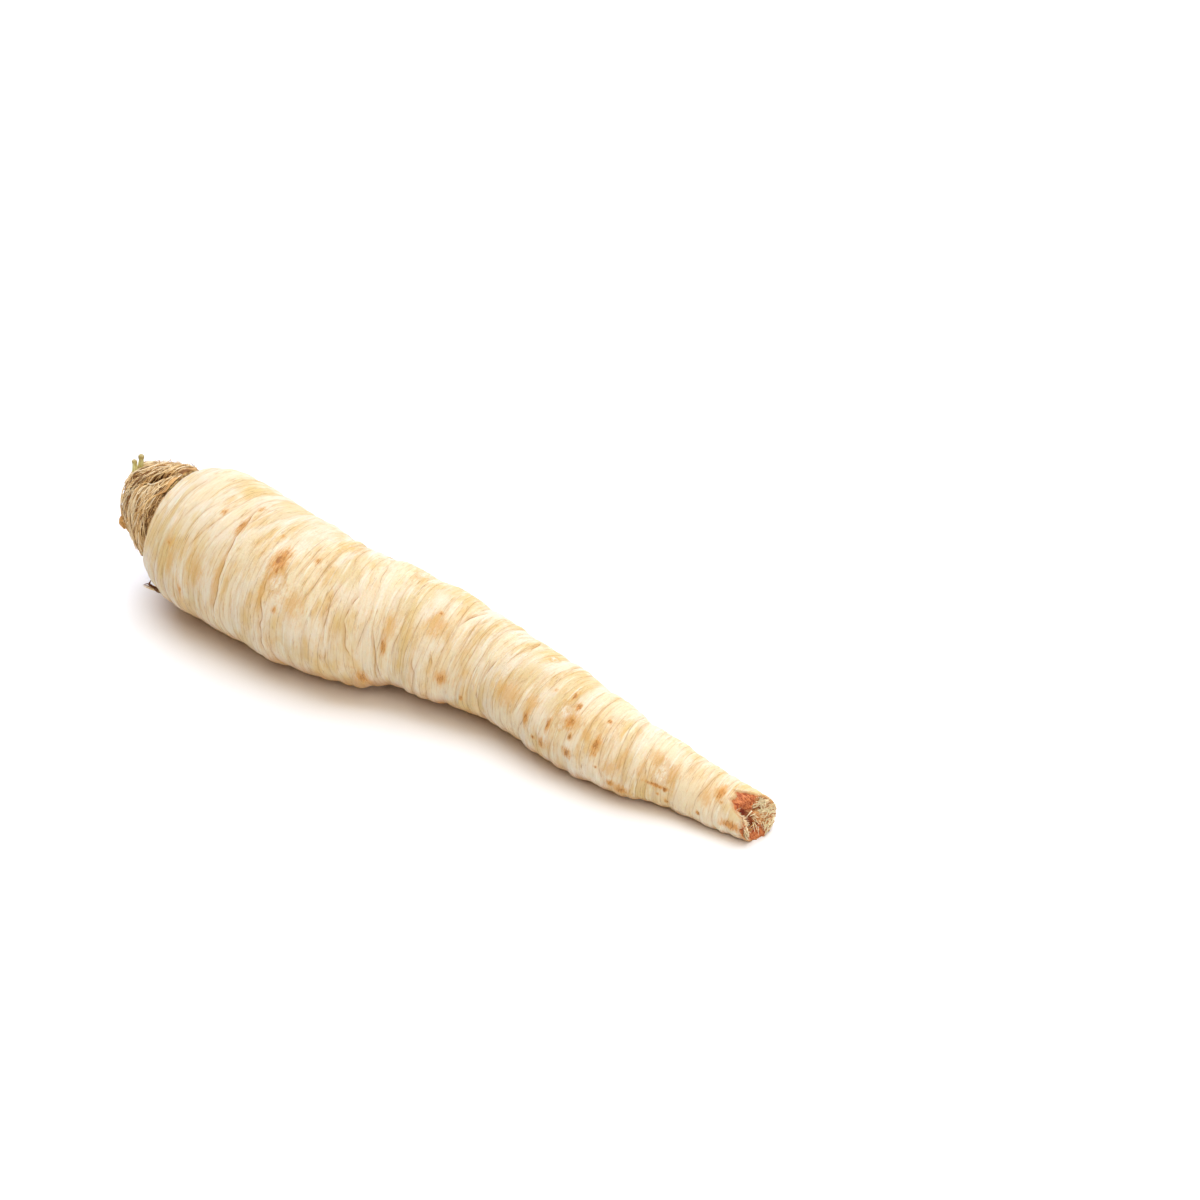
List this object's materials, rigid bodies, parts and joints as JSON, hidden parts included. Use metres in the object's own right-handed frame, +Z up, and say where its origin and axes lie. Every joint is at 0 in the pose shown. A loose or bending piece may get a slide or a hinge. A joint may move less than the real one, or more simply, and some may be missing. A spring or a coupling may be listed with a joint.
{
  "type": "parsley root",
  "caption": "Long tapering root parsley lying on its side, with a dry fibrous collar, cut leaf stalks, ring wrinkles and a broken tail.",
  "frame": {"origin": "on the ground, at the bottom centre of the whole object's box", "axes": "+X along the root from the crown to the tail, +Z up as it lies"},
  "size_m": [0.1998, 0.0426, 0.0392],
  "materials": {
    "skin": "cream root skin, softly glossy",
    "dry_sheath": "dry fibrous leaf base",
    "green_stalk": "dried yellow-green stalk",
    "brown_scrap": "dried brown leaf scrap"
  },
  "bodies": {
    "root": {"taproot": "skin", "lower_leaf_sheath": "dry_sheath", "middle_leaf_sheath": "dry_sheath", "upper_leaf_sheath": "dry_sheath", "tall_leaf_stalk": "green_stalk", "short_leaf_stalk": "green_stalk", "dry_leaf_scrap": "brown_scrap"}
  },
  "joints": []
}
